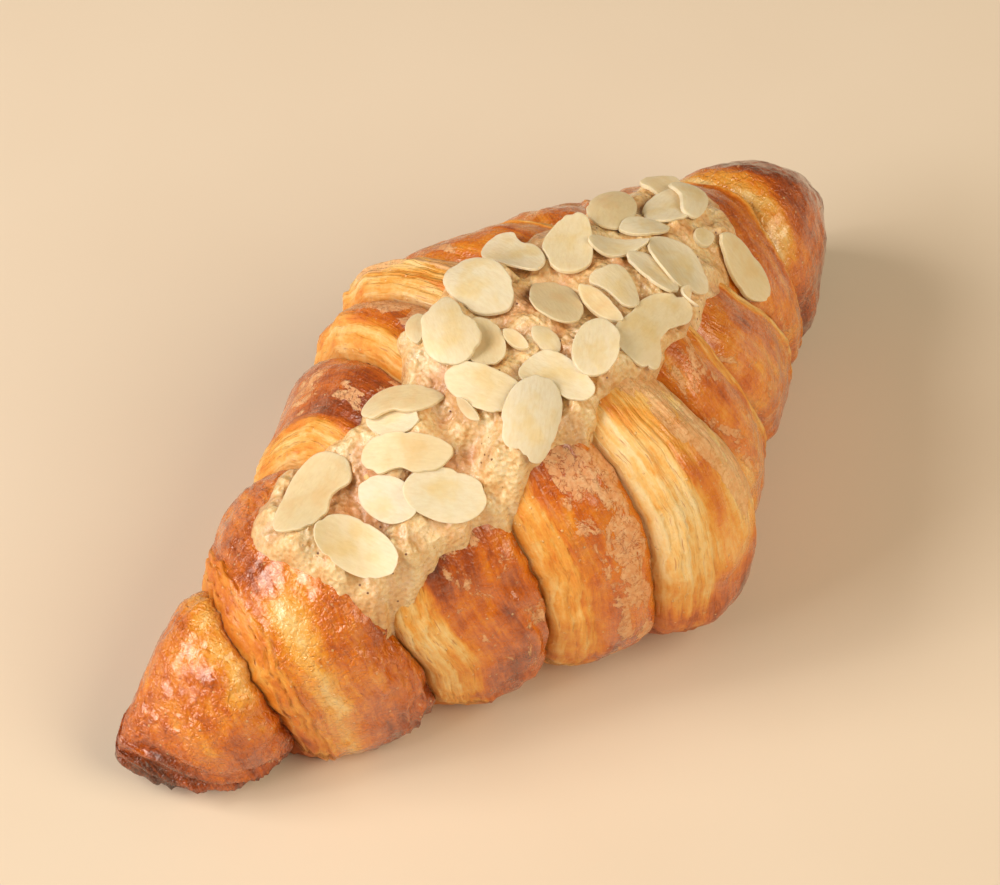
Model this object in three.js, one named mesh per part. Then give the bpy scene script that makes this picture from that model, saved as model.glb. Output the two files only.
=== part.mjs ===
// Almond croissant: one baked pastry, a patch of almond cream along its ridge, and flaked almonds
// lying on the cream. X runs along the croissant, -Y is its full, rounded front, +Z is up, and the
// origin is at the middle of its footprint on the surface it lies on. Lengths are in millimetres.
import * as THREE from 'three';

// Outer shape: the pastry's reach to each side of its centreline, and its height, at evenly spaced
// stations from the near tip at -X to the far tip at +X.
const HALF_LENGTH = 90.5;
const FRONT_REACH = [2.5, 13, 17.5, 23.5, 26, 31.5, 38.5, 46, 46, 36, 28.5, 22, 17, 11.5, 4];
const BACK_REACH = [2, 9.5, 16, 25, 31, 38.5, 43, 46, 42.5, 38, 32, 25.5, 19.5, 14, 6];
const TOP_HEIGHT = [14.5, 28.5, 38.5, 46, 50, 55, 62, 64.5, 63, 61, 56, 50, 44.5, 39, 22.5];
const BASE_LIFT = [3, 0.5, 0, 0, 0, 0, 0, 0, 0, 0, 0, 0, 0, 1, 4];
const NEAR_SWEEP = 13.5; // how far the near tip curves towards the back
const FAR_SWEEP = 7.5; // and the far tip
const FOOTPRINT_OFFSET = 0.5; // moves the middle of the footprint onto the origin
const WIDEST_LEVEL = 0.4; // height of the widest level, as a share of the top height
const UPPER_ROUNDNESS = 2.15; // superellipse exponent above the widest level
const LOWER_ROUNDNESS = 3; // and below it, where the dough has slumped
const BASE_PRESS = 1.5; // how much of the underside is pressed flat
const NOSE_LENGTH = 5; // length over which each tip closes

// The strip of dough wraps round in nine bands, parted by eight seams. Each seam is given by its X
// every 30 degrees round the pastry, and by the depth of its crease.
const SEAM_START = -30; // degrees from the front; 90 is the ridge
const SEAM_STEP = 30;
const SEAM_COUNT = 12; // steps all round; those not given run straight across the underside
const SEAMS = [
  { x: [-62, -64, -66.4, -67.2, -67.1, -66.1, -64], depth: 5.5 },
  { x: [-38, -40.6, -43.6, -43.2, -39, -40.1, -46], depth: 4.5 },
  { x: [-19.5, -20.5, -21, -20.5, -18.7, -18.8, -19], depth: 4.8 },
  { x: [-3, -4.8, -4, -3.6, -3, -5.7, -7.5], depth: 4.5 },
  { x: [21.2, 19.6, 17.6, 12.7, 10.3, 9.4, 4], depth: 4.5 },
  { x: [41, 36, 29.6, 26.3, 26.9, 28.5, 25], depth: 3.5 },
  { x: [60, 55, 49.6, 42, 37, 40, 48], depth: 2.6 },
  { x: [65.6, 63.3, 61.8, 61.8, 63.9, 62.4, 59.2], depth: 3.6 },
];
const MIDDLE_BAND = 4; // the outermost wrap: its cut edges, and those beyond it, face the tips
const CUT_EDGE = 0.8; // width of the steep cut edge of a band
const CUT_SHARE = 0.5; // share of the crease depth that the cut edge takes up
const SLOPE_WIDTH = 8; // width over which a band rises to its crest
const BASE_FADE = 1; // height above the base over which the creases fade out

// Mesh density of the pastry.
const SIDES = 32;
const BAND_RINGS = [0, 0.05, 0.2, 0.4, 0.6, 0.8, 0.94];
const TIP_RINGS = [0.012, 0.05, 0.11, 0.22, 0.4, 0.6, 0.8, 0.93];

// Almond cream: its front and back edges as angles round the pastry, from the front (0 degrees)
// over the ridge (90 degrees), at evenly spaced stations between its two ends.
const CREAM_START = -58.5;
const CREAM_END = 56.5;
const CREAM_FRONT = [84, 55, 56, 56, 61, 60, 59, 61, 64, 69, 84];
const CREAM_BACK = [100, 120, 112, 106, 114, 115, 115, 114, 114, 113, 98];
const CREAM_THICKNESS = 2.2;
const CREAM_EDGE = 0.9; // thickness at its rim
const CREAM_STEPS = 10;
const GAP = 0.5; // clearance between the cream and the pastry

const FLAKE_THICKNESS = 1;
const FLAKE_GAP = 0.5; // clearance under each flake
const FLAKE_POINTS = 18;
// Sizes of the outlines, against the flake's own, under which its support is felt for.
const SUPPORT_SHARES = [1.08, 1, 0.88, 0.72, 0.5, 0.25];

// Outlines of the flakes, as shares of half their length and half their width.
const OUTLINES = {
  oval: [[1, 0], [0.8, 0.6], [0.1, 1], [-0.6, 0.85], [-1, 0.1], [-0.8, -0.65], [-0.1, -1], [0.65, -0.75]],
  bean: [[-1, 0.1], [-0.7, 0.6], [0.3, 1], [0.8, 0.7], [1, 0], [0.8, -0.75], [0.45, -1], [0.2, -0.7],
    [-0.1, -1], [-0.65, -0.9]],
  kidney: [[-0.75, 1], [0.1, 0.95], [0.65, 0.6], [1, -0.3], [0.85, -0.9], [0.55, -1], [0.2, -0.6],
    [-0.25, -0.5], [-0.6, -1], [-0.8, -0.95], [-1, 0]],
  bell: [[0.15, 0.95], [0.55, 0.85], [0.7, 0.4], [1, 0.1], [0.7, -0.45], [0.25, -0.65], [0, -1], [-0.5, -1],
    [-0.95, -0.5], [-1, 0.4], [-0.5, 1]],
  tear: [[-0.3, 1], [0.5, 0.9], [1, 0], [0.6, -0.85], [-0.2, -1], [-0.9, -0.8], [-1, -0.5], [-0.8, 0.1],
    [-0.75, 0.65]],
  broken: [[1, 0.2], [0.6, -0.95], [0, -0.9], [-0.9, 0], [-1, 0.4], [-0.75, 1], [0.15, 0.8], [0.8, 0.85]],
  fan: [[0.15, 0.95], [0.9, 0], [1, -0.5], [0.8, -0.95], [-0.4, -0.95], [-0.85, -0.6], [-1, 0.45], [-0.5, 1]],
  sliver: [[1, 0.1], [0.5, 0.9], [-0.5, 0.8], [-1, -0.1], [-0.5, -0.8], [0.5, -0.9]],
};

// Flakes, lowest first: place of the middle (X, Y), heading in degrees, length, width and outline.
// A negative width turns the outline over.
const FLAKES = [
  [-45, 9, 9, 18.5, 9.5, 'bean'],
  [-47, -5.5, 102, 16, 9, 'oval'],
  [-37.5, -3.5, 102, 12, 8, 'oval'],
  [-31, -12, 123, 15, 9, 'oval'],
  [-27, 6, 126, 10.5, 6, 'sliver'],
  [-30.5, -0.5, 135, 16.5, -7.5, 'bean'],
  [-24, 9, 132, 15.5, -7, 'bean'],
  [-14, -4, 108, 16, 8, 'oval'],
  [-3, -12, 114, 14, 8, 'broken'],
  [-12.5, -14.5, 33, 15.5, 10, 'tear'],
  [5.5, -13, 33, 12.5, 8, 'oval'],
  [18.5, -15.5, 15, 19.5, 10, 'kidney'],
  [-12.5, 15, 45, 7, 4, 'sliver'],
  [-7.5, 3, 57, 11, 7.5, 'oval'],
  [-10.5, 9.5, 54, 14.5, 9.5, 'bell'],
  [1.5, 13, 90, 15, 10, 'oval'],
  [12.5, 16, 81, 16.5, 8, 'bean'],
  [20.5, 9, 54, 14, 9, 'fan'],
  [9, 0.5, 60, 14.5, 9.5, 'oval'],
  [14, -6, 87, 11, 3.5, 'sliver'],
  [19.5, -5, 93, 11, 7, 'broken'],
  [28, 3, 147, 11.5, 5, 'sliver'],
  [28, -6.5, 87, 12.5, 6.5, 'oval'],
  [35, -8, 75, 14.5, 9.5, 'tear'],
  [49, -10, 117, 16.5, 9, 'oval'],
  [35, 11.5, 30, 14, 8.5, 'oval'],
  [49, 10.5, 72, 13, 6.5, 'broken'],
  [46, 5.5, 21, 13, 8.5, 'fan'],
  [36.5, 3.5, 153, 10.5, 5.5, 'sliver'],
  [51.5, 2.5, 48, 10.5, 6, 'broken'],
  [1, -5, 90, 6.5, 4, 'sliver'],
  [-3, -1, 90, 6, 2.5, 'sliver'],
  [-19.5, -4.5, 78, 6, 2.5, 'sliver'],
  [44.5, -3.5, 162, 5, 3.5, 'sliver'],
  [29.5, -15, 72, 4.5, 3, 'sliver'],
];

// Point at share t between b and c of a smooth Catmull-Rom curve through a, b, c and d.
function catmull(a, b, c, d, t) {
  const bend = 2 * a - 5 * b + 4 * c - d;
  const twist = 3 * b - a - 3 * c + d;
  return 0.5 * (2 * b + (c - a) * t + bend * t * t + twist * t * t * t);
}

// Value at x of a list of evenly spaced stations, joined by a smooth curve.
function stationValue(list, start, step, x) {
  const last = list.length - 1;
  const place = THREE.MathUtils.clamp((x - start) / step, 0, last);
  const index = Math.min(Math.floor(place), last - 1);
  const around = [-1, 0, 1, 2].map((offset) => list[THREE.MathUtils.clamp(index + offset, 0, last)]);
  return catmull(...around, place - index);
}

function alongPastry(list, x) {
  return stationValue(list, -HALF_LENGTH, (2 * HALF_LENGTH) / (list.length - 1), x);
}

// Every seam's X all round the pastry, with the values that aren't given filled in straight.
const SEAM_RINGS = SEAMS.map(({ x }) => {
  const hidden = SEAM_COUNT - x.length;
  const ring = [...x];
  for (let i = 1; i <= hidden; i += 1) ring.push(THREE.MathUtils.lerp(x.at(-1), x[0], i / (hidden + 1)));
  return ring;
});

// Where border number k lies along X at an angle round the pastry. The tips are the outer borders.
function borderX(k, angle) {
  if (k < 0) return -HALF_LENGTH;
  if (k >= SEAMS.length) return HALF_LENGTH;
  const place = (THREE.MathUtils.radToDeg(angle) - SEAM_START) / SEAM_STEP;
  const index = Math.floor(place);
  const around = [-1, 0, 1, 2].map((offset) => {
    return SEAM_RINGS[k][THREE.MathUtils.euclideanModulo(index + offset, SEAM_COUNT)];
  });
  return catmull(...around, place - index);
}

// Share of the crease depth lost beside a cut edge, and beside an edge tucked under its neighbour.
function cutFall(distance) {
  if (distance < CUT_EDGE) return 1 - (1 - CUT_SHARE) * (distance / CUT_EDGE);
  return CUT_SHARE * Math.max(0, 1 - (distance - CUT_EDGE) / SLOPE_WIDTH) ** 2;
}

function tuckFall(distance) {
  const rise = Math.max(0, 1 - distance / SLOPE_WIDTH);
  return 1 - Math.sqrt(1 - rise * rise);
}

function creaseFall(band, x, angle) {
  let fall = 0;
  if (band > 0) fall += (band <= MIDDLE_BAND ? cutFall : tuckFall)(x - borderX(band - 1, angle));
  if (band < SEAMS.length) fall += (band >= MIDDLE_BAND ? cutFall : tuckFall)(borderX(band, angle) - x);
  return Math.min(fall, 1);
}

// Depth of the creases at a share of a band's width: its two seams blend over its middle.
function creaseDepth(band, share) {
  const low = SEAMS[Math.max(band - 1, 0)].depth;
  const high = SEAMS[Math.min(band, SEAMS.length - 1)].depth;
  return THREE.MathUtils.lerp(low, high, THREE.MathUtils.smoothstep(share, 0.3, 0.7));
}

function power(value, exponent) {
  return Math.sign(value) * Math.abs(value) ** exponent;
}

// Point of the surface in a band, at a share of its width and an angle. creases scales their depth.
function surfacePoint(band, share, angle, creases = 1) {
  const x = THREE.MathUtils.lerp(borderX(band - 1, angle), borderX(band, angle), share);
  const top = alongPastry(TOP_HEIGHT, x);
  const lift = alongPastry(BASE_LIFT, x);
  const middle = lift + WIDEST_LEVEL * (top - lift);
  const upper = Math.sin(angle) >= 0;
  const exponent = 2 / (upper ? UPPER_ROUNDNESS : LOWER_ROUNDNESS);
  const reach = alongPastry(Math.cos(angle) >= 0 ? FRONT_REACH : BACK_REACH, x);
  const across = reach * power(Math.cos(angle), exponent);
  const depth = upper ? top - middle : middle - lift + BASE_PRESS;
  const rise = depth * power(Math.sin(angle), exponent);

  const fade = THREE.MathUtils.smoothstep(middle + rise, 0, BASE_FADE);
  const uneven = 0.5 * Math.sin(2 * angle + x / 17) + 0.4 * Math.sin(3 * angle - x / 11);
  const radius = Math.hypot(across, rise);
  const sink = creases * creaseDepth(band, share) * creaseFall(band, x, angle) - uneven;
  const noseShare = Math.max(0, (Math.abs(x) - HALF_LENGTH + NOSE_LENGTH) / NOSE_LENGTH);
  const scale = (1 - (fade * sink) / Math.max(radius, 1)) * Math.sqrt(Math.max(0, 1 - noseShare ** 2));

  const sweep = x < 0 ? NEAR_SWEEP : FAR_SWEEP;
  const slope = (2 * sweep * x) / HALF_LENGTH ** 2;
  const centreY = FOOTPRINT_OFFSET + sweep * (x / HALF_LENGTH) ** 2;
  const outward = new THREE.Vector3(slope, -1, 0).normalize();
  const point = new THREE.Vector3(x, centreY, Math.max(0, middle + scale * rise));
  return point.addScaledVector(outward, scale * across);
}

// A band and a share of its width for every ring, from the near tip to the far one.
function ringPlaces() {
  const places = [];
  for (const share of TIP_RINGS) places.push([0, share]);
  for (let band = 1; band < SEAMS.length; band += 1) {
    for (const share of BAND_RINGS) places.push([band, share]);
  }
  places.push([SEAMS.length, 0]);
  for (const share of [...TIP_RINGS].reverse()) places.push([SEAMS.length, 1 - share]);
  return places;
}

function pastryRings() {
  return ringPlaces().map(([band, share]) => {
    const ring = [];
    for (let i = 0; i < SIDES; i += 1) ring.push(surfacePoint(band, share, (2 * Math.PI * i) / SIDES));
    return ring;
  });
}

function meshOf(name, geometry, colour, roughness) {
  const material = new THREE.MeshStandardMaterial({ color: colour, roughness, metalness: 0 });
  const mesh = new THREE.Mesh(geometry, material);
  mesh.name = name;
  geometry.computeVertexNormals();
  return mesh;
}

// Closed skin over a row of rings with the same number of points. Both ends close on a point.
function skinOverRings(rings, startPoint, endPoint) {
  const count = rings[0].length;
  const points = [startPoint, ...rings.flat(), endPoint];
  const end = points.length - 1;
  const faces = [];
  for (let i = 0; i < count; i += 1) {
    const next = (i + 1) % count;
    faces.push(0, 1 + i, 1 + next);
    faces.push(end, end - count + next, end - count + i);
    for (let r = 0; r < rings.length - 1; r += 1) {
      const near = 1 + r * count;
      const far = near + count;
      faces.push(near + i, far + next, near + next);
      faces.push(near + i, far + i, far + next);
    }
  }
  const geometry = new THREE.BufferGeometry().setFromPoints(points);
  geometry.setIndex(faces);
  return geometry;
}

function centreOf(ring) {
  const sum = new THREE.Vector3();
  for (const point of ring) sum.add(point);
  return sum.divideScalar(ring.length);
}

function makePastry(rings) {
  const nearNose = centreOf(rings[0]).setX(-HALF_LENGTH);
  const farNose = centreOf(rings[rings.length - 1]).setX(HALF_LENGTH);
  return meshOf('pastry', skinOverRings(rings, nearNose, farNose), 0xc8752c, 0.35);
}

// The cream lies on the crests of the bands and bridges the creases between them.
function makeCream() {
  const step = (CREAM_END - CREAM_START) / (CREAM_FRONT.length - 1);
  const loops = [];
  for (const [band, share] of ringPlaces()) {
    const { x } = surfacePoint(band, share, Math.PI / 2);
    if (x < CREAM_START || x > CREAM_END) continue;
    const front = stationValue(CREAM_FRONT, CREAM_START, step, x);
    const back = stationValue(CREAM_BACK, CREAM_START, step, x);
    const under = [];
    const over = [];
    for (let i = 0; i <= CREAM_STEPS; i += 1) {
      const angle = THREE.MathUtils.degToRad(THREE.MathUtils.lerp(front, back, i / CREAM_STEPS));
      const dome = Math.sqrt(1 - (1 - (2 * i) / CREAM_STEPS) ** 4);
      const thickness = CREAM_EDGE + (CREAM_THICKNESS - CREAM_EDGE) * dome;
      const away = new THREE.Vector3(0, -Math.cos(angle), Math.sin(angle));
      const bottom = surfacePoint(band, share, angle, 0).addScaledVector(away, GAP);
      under.unshift(bottom);
      over.push(bottom.clone().addScaledVector(away, thickness));
    }
    loops.push([...under, ...over]);
  }
  return meshOf('almond_cream', skinOverLoops(loops), 0xf0dcb4, 0.6);
}

// Closed skin over loops of matching points, each end filled across from one side to the other.
function skinOverLoops(loops) {
  const count = loops[0].length;
  const faces = [];
  for (let r = 0; r < loops.length - 1; r += 1) {
    for (let i = 0; i < count; i += 1) {
      const near = r * count + i;
      const next = r * count + ((i + 1) % count);
      faces.push(near, next + count, next);
      faces.push(near, near + count, next + count);
    }
  }
  const last = (loops.length - 1) * count;
  for (let i = 0; i < count / 2 - 1; i += 1) {
    const across = count - 1 - i;
    faces.push(i, across - 1, across, i, i + 1, across - 1);
    faces.push(last + i, last + across, last + across - 1, last + i, last + across - 1, last + i + 1);
  }
  const geometry = new THREE.BufferGeometry().setFromPoints(loops.flat());
  geometry.setIndex(faces);
  return geometry;
}

function flakeOutline(kind, length, width) {
  const corners = OUTLINES[kind].map(([u, v]) => new THREE.Vector3((u * length) / 2, (v * width) / 2, 0));
  const curve = new THREE.CatmullRomCurve3(corners, true);
  return curve.getSpacedPoints(FLAKE_POINTS).slice(0, FLAKE_POINTS);
}

// Height of whatever lies highest at a point of the plan.
function heightAt(meshes, x, y) {
  const down = new THREE.Raycaster(new THREE.Vector3(x, y, 200), new THREE.Vector3(0, 0, -1));
  const hits = down.intersectObjects(meshes);
  return hits.length > 0 ? hits[0].point.z : 0;
}

// Plane z = a x + b y + c that fits points best, from their normal equations.
function fitPlane(points) {
  const sums = new THREE.Matrix3();
  const right = new THREE.Vector3();
  const cells = new Array(9).fill(0);
  for (const point of points) {
    const row = [point.x, point.y, 1];
    for (let i = 0; i < 9; i += 1) cells[i] += row[Math.floor(i / 3)] * row[i % 3];
    right.add(new THREE.Vector3(...row).multiplyScalar(point.z));
  }
  sums.set(...cells);
  return right.applyMatrix3(sums.invert());
}

// A flake lies on what is already there: its plane fits the heights under it, then clears them all.
function makeFlake(number, [x, y, heading, length, width, kind], below) {
  const outline = flakeOutline(kind, length, width);
  const turn = THREE.MathUtils.degToRad(heading);
  const support = [];
  for (const share of SUPPORT_SHARES) {
    for (const corner of outline) {
      const spot = corner.clone().multiplyScalar(share).applyAxisAngle(new THREE.Vector3(0, 0, 1), turn);
      spot.add(new THREE.Vector3(x, y, 0));
      support.push(spot.setZ(heightAt(below, spot.x, spot.y)));
    }
  }
  const plane = fitPlane(support);
  let clear = 0;
  for (const spot of support) clear = Math.max(clear, spot.z - (plane.x * spot.x + plane.y * spot.y + plane.z));

  const up = new THREE.Vector3(-plane.x, -plane.y, 1).normalize();
  const ahead = new THREE.Vector3(Math.cos(turn), Math.sin(turn), 0);
  ahead.addScaledVector(up, -ahead.dot(up)).normalize();
  const aside = up.clone().cross(ahead);
  const geometry = new THREE.ExtrudeGeometry(new THREE.Shape(outline), {
    depth: FLAKE_THICKNESS,
    bevelEnabled: false,
  });
  const flake = meshOf(`almond_flake_${String(number).padStart(2, '0')}`, geometry, 0xe8d0a0, 0.5);
  flake.setRotationFromMatrix(new THREE.Matrix4().makeBasis(ahead, aside, up));
  flake.position.set(x, y, plane.x * x + plane.y * y + plane.z + clear + FLAKE_GAP / up.z);
  flake.updateMatrixWorld();
  return flake;
}

const rings = pastryRings();
const group = new THREE.Group();
group.add(makePastry(rings), makeCream());
group.updateMatrixWorld(true);
FLAKES.forEach((row, index) => {
  group.add(makeFlake(index + 1, row, [...group.children]));
});

export default group;
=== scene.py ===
"""An almond croissant: baked pastry, almond cream and flaked almonds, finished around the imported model.

Shapes are worked out in millimetres, in the model's own frame: X along the croissant, -Y its full
front, +Z up. They become metres when the meshes are made.
"""

import math

import bpy
import numpy as np
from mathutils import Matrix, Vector
from mathutils.bvhtree import BVHTree


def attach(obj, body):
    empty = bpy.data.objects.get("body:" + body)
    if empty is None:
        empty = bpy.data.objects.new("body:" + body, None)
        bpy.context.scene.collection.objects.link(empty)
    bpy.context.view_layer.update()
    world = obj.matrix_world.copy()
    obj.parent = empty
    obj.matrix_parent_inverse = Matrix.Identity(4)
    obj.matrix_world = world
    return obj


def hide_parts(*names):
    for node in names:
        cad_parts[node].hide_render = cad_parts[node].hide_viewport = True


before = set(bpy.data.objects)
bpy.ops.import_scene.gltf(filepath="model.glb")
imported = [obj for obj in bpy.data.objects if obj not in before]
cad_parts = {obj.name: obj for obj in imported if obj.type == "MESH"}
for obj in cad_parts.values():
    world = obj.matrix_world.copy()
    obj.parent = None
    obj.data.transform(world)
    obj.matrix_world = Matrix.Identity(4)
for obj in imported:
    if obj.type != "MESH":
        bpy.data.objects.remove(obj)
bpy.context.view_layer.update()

MM = 0.001

# ---------------------------------------------------------------- the pastry's driving dimensions

# Lengths are in mm. Each list of reaches, heights or lifts runs from the near end to the far end, at
# evenly spaced stations along X.
HALF_LENGTH = 90.5
FRONT_REACH = [2.5, 13, 17.5, 23.5, 26, 31.5, 38.5, 46, 46, 36, 28.5, 22, 17, 11.5, 4]
BACK_REACH = [2, 9.5, 16, 25, 31, 38.5, 43, 46, 42.5, 38, 32, 25.5, 19.5, 14, 6]
TOP_HEIGHT = [14.5, 28.5, 38.5, 46, 50, 55, 62, 64.5, 63, 61, 56, 50, 44.5, 39, 22.5]
BASE_LIFT = [3, 0.5, 0, 0, 0, 0, 0, 0, 0, 0, 0, 0, 0, 1, 4]
NEAR_SWEEP = 13.5
FAR_SWEEP = 7.5
FOOTPRINT_OFFSET = 0.5
WIDEST_LEVEL = 0.4
UPPER_ROUNDNESS = 2.15
LOWER_ROUNDNESS = 3.0
BASE_PRESS = 1.5
NOSE_LENGTH = 5.0
CUT_EDGE = 1.5  # length of the steep lip of a cut edge
CUT_SHARE = 0.45  # share of the crease depth that is left beyond the lip
LEAST_SLOPE_WIDTH = 6.0
TUCK_WIDTH = 8.0
BASE_FADE = 1.0
LUMP_SIZE = 15.0
STRAND_WIDTH = 1.25
FOLD_HEIGHT = 3.2
FOOT_LAYER_HEIGHT = 1.7
LIP_LEAN = 0.5
CREASE_FADE = 0.7

# Seams between the nine bands: X where each crosses the angles of SEAM_ANGLES, how deep its crease
# is, and the width of the pale layered strip beside it, near the ridge and low on the side.
SEAM_ANGLES = [-30, 0, 30, 60, 90, 120, 150]  # degrees from the front, over the ridge, to the back
SEAM_ANGLE_STEP = 30
SEAMS = [
    {"x": [-62, -64, -66.4, -67.2, -67.1, -66.1, -64], "depth": 4.6, "strip": (3.5, 5.0)},
    {"x": [-38, -40.6, -43.6, -43.2, -39, -40.1, -46], "depth": 4.5, "strip": (7.0, 8.0)},
    {"x": [-19.5, -20.5, -21, -20.5, -18.7, -18.8, -19], "depth": 4.8, "strip": (5.0, 7.0)},
    {"x": [-3, -4.8, -4, -3.6, -3, -5.7, -7.5], "depth": 4.5, "strip": (9.0, 10.0)},
    {"x": [21.2, 19.6, 17.6, 12.7, 10.3, 9.4, 4], "depth": 4.5, "strip": (6.0, 4.0)},
    {"x": [41, 36, 29.6, 26.3, 26.9, 28.5, 25], "depth": 3.5, "strip": (3.0, 2.0)},
    {"x": [60, 55, 49.6, 42, 37, 40, 48], "depth": 2.6, "strip": (2.5, 2.0)},
    {"x": [65.6, 63.3, 61.8, 61.8, 63.9, 62.4, 59.2], "depth": 3.6, "strip": (2.0, 2.0)},
]
MIDDLE_BAND = 4
BAND_COUNT = len(SEAMS) + 1

# How dark each band is baked on its crest and in its layered strip: 0 is raw cream, 1 deep brown.
CREST_BAKE = [0.61, 0.62, 0.68, 0.60, 0.27, 0.53, 0.56, 0.56, 0.75]
STRIP_BAKE = [0.50, 0.46, 0.24, 0.32, 0.14, 0.28, 0.28, 0.30, 0.50]
# How much of each band has matte crust where the egg wash has flaked, and how wrinkled its glaze is.
CRUST = [0.0, 0.05, 0.52, 0.66, 0.25, 0.52, 0.42, 0.38, 0.34]
WRINKLE = [1.0, 0.9, 0.45, 0.35, 0.15, 0.3, 0.4, 0.5, 0.8]

RINGS_PER_BAND = 68
RINGS_PER_TIP = 60
SEEN_SIDES = 142
BASE_SIDES = 20
SEEN_ARC = (-25.0, 205.0)  # degrees round the pastry, from the front over the ridge to the back
HALF_GIRTH = 42.0
FAR_AWAY = 1000.0  # stands in for the distance to an edge that a band doesn't have

# ---------------------------------------------------------------- repeatable noise


def lattice(i, j, k, seed):
    """A repeatable value from -1 to 1 for every whole-number corner."""
    mixed = (i * 73856093) ^ (j * 19349663) ^ (k * 83492791) ^ (seed * 40503)
    mixed = ((mixed ^ (mixed >> 13)) * 1274126177) & 0xFFFFFFFF
    return ((mixed ^ (mixed >> 16)) & 0xFFFF) / 32767.5 - 1.0


def noise(points, size, seed):
    """Smooth noise from -1 to 1 with features about size across. size may differ along the axes."""
    scaled = points / np.asarray(size, float) + seed * 7.31
    corner = np.floor(scaled).astype(np.int64)
    part = scaled - corner
    part = part * part * (3 - 2 * part)
    total = np.zeros(points.shape[:-1])
    for step in np.ndindex(2, 2, 2):
        weight = np.ones(points.shape[:-1])
        for axis in range(3):
            weight = weight * (part[..., axis] if step[axis] else 1 - part[..., axis])
        total += weight * lattice(*(corner[..., axis] + step[axis] for axis in range(3)), seed)
    return total


def rough_noise(points, size, seed, octaves=3):
    """Noise with finer noise added on top."""
    total = 0
    reach = 0
    for octave in range(octaves):
        share = 0.5**octave
        total = total + share * noise(points, np.asarray(size, float) * share, seed + octave)
        reach += share
    return total / reach


def smoothstep(value, low, high):
    t = np.clip((value - low) / (high - low), 0, 1)
    return t * t * (3 - 2 * t)


def mix(low, high, share):
    return low + (high - low) * share


# ---------------------------------------------------------------- the pastry's shape


def catmull(a, b, c, d, t):
    """Point at share t between b and c of a smooth curve through a, b, c and d."""
    bend = 2 * a - 5 * b + 4 * c - d
    twist = 3 * b - a - 3 * c + d
    return 0.5 * (2 * b + (c - a) * t + bend * t**2 + twist * t**3)


def along(stations, x):
    """Value at x of a list of evenly spaced stations, joined by a smooth curve."""
    values = np.asarray(stations, float)
    last = len(values) - 1
    place = np.clip((x + HALF_LENGTH) * last / (2 * HALF_LENGTH), 0, last)
    index = np.minimum(np.floor(place).astype(int), last - 1)
    around = (values[np.clip(index + step, 0, last)] for step in (-1, 0, 1, 2))
    return catmull(*around, place - index)


def power(value, exponent):
    return np.sign(value) * np.abs(value) ** exponent


def seam_line(values, angle):
    """X of one seam at each angle, through its values, straight across the unseen underside."""
    count = 360 // SEAM_ANGLE_STEP
    hidden = np.linspace(values[-1], values[0], count - len(values) + 2)[1:-1]
    ring = np.concatenate([values, hidden])
    place = (np.degrees(angle) - SEAM_ANGLES[0]) / SEAM_ANGLE_STEP
    index = np.floor(place).astype(int)
    return catmull(*(ring[(index + step) % count] for step in (-1, 0, 1, 2)), place - index)


def borders(angle):
    """X of every border between bands at each angle, the two tips included."""
    radius = 40
    seam_spacing = 31.0
    rows = [np.full_like(angle, -HALF_LENGTH)]
    for k, seam in enumerate(SEAMS):
        level = np.full_like(angle, seam_spacing * k)
        around = np.stack([radius * np.cos(angle), radius * np.sin(angle), level], -1)
        ragged = 0.45 * noise(around, 7.0, 3) + 0.2 * noise(around, 2.2, 4)
        rows.append(seam_line(seam["x"], angle) + ragged)
    rows.append(np.full_like(angle, HALF_LENGTH))
    return np.stack(rows)


def ring_places():
    """Band and share of its width for every ring, closest together beside the seams."""
    tip_evenness = 0.45
    band_evenness = 0.35
    bands = []
    shares = []
    for band in range(BAND_COUNT):
        if band == 0:
            t = (np.arange(RINGS_PER_TIP) + 0.5) / RINGS_PER_TIP
            share = mix(1 - np.cos(t * math.pi / 2), t, tip_evenness)
        elif band == BAND_COUNT - 1:
            t = np.arange(RINGS_PER_TIP) / (RINGS_PER_TIP - 0.5)
            share = mix(np.sin(t * math.pi / 2), t, tip_evenness)
        else:
            t = np.arange(RINGS_PER_BAND) / RINGS_PER_BAND
            share = mix(0.5 - 0.5 * np.cos(t * math.pi), t, band_evenness)
        bands.append(np.full(len(share), band))
        shares.append(share)
    return np.concatenate(bands), np.concatenate(shares)


def side_angles():
    low, high = SEEN_ARC
    seen = np.linspace(low, high, SEEN_SIDES, endpoint=False)
    base = np.linspace(high, low + 360, BASE_SIDES, endpoint=False)
    return np.radians(np.concatenate([seen, base]))


def cut_fall(distance, width):
    """Share of the crease depth left beside a cut edge: a steep lip, then a slope to the crest."""
    lip = 1 - (1 - CUT_SHARE) * np.clip(distance / CUT_EDGE, 0, 1)
    slope = CUT_SHARE * np.clip(1 - (distance - CUT_EDGE) / width, 0, 1) ** 2
    return np.where(distance < CUT_EDGE, lip, slope)


def tuck_fall(distance):
    """Share of the crease depth left beside an edge that is tucked under its neighbour."""
    rise = np.clip(1 - distance / TUCK_WIDTH, 0, 1)
    return 0.7 * rise**2 + 0.3 * (1 - np.sqrt(1 - rise**2))


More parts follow.
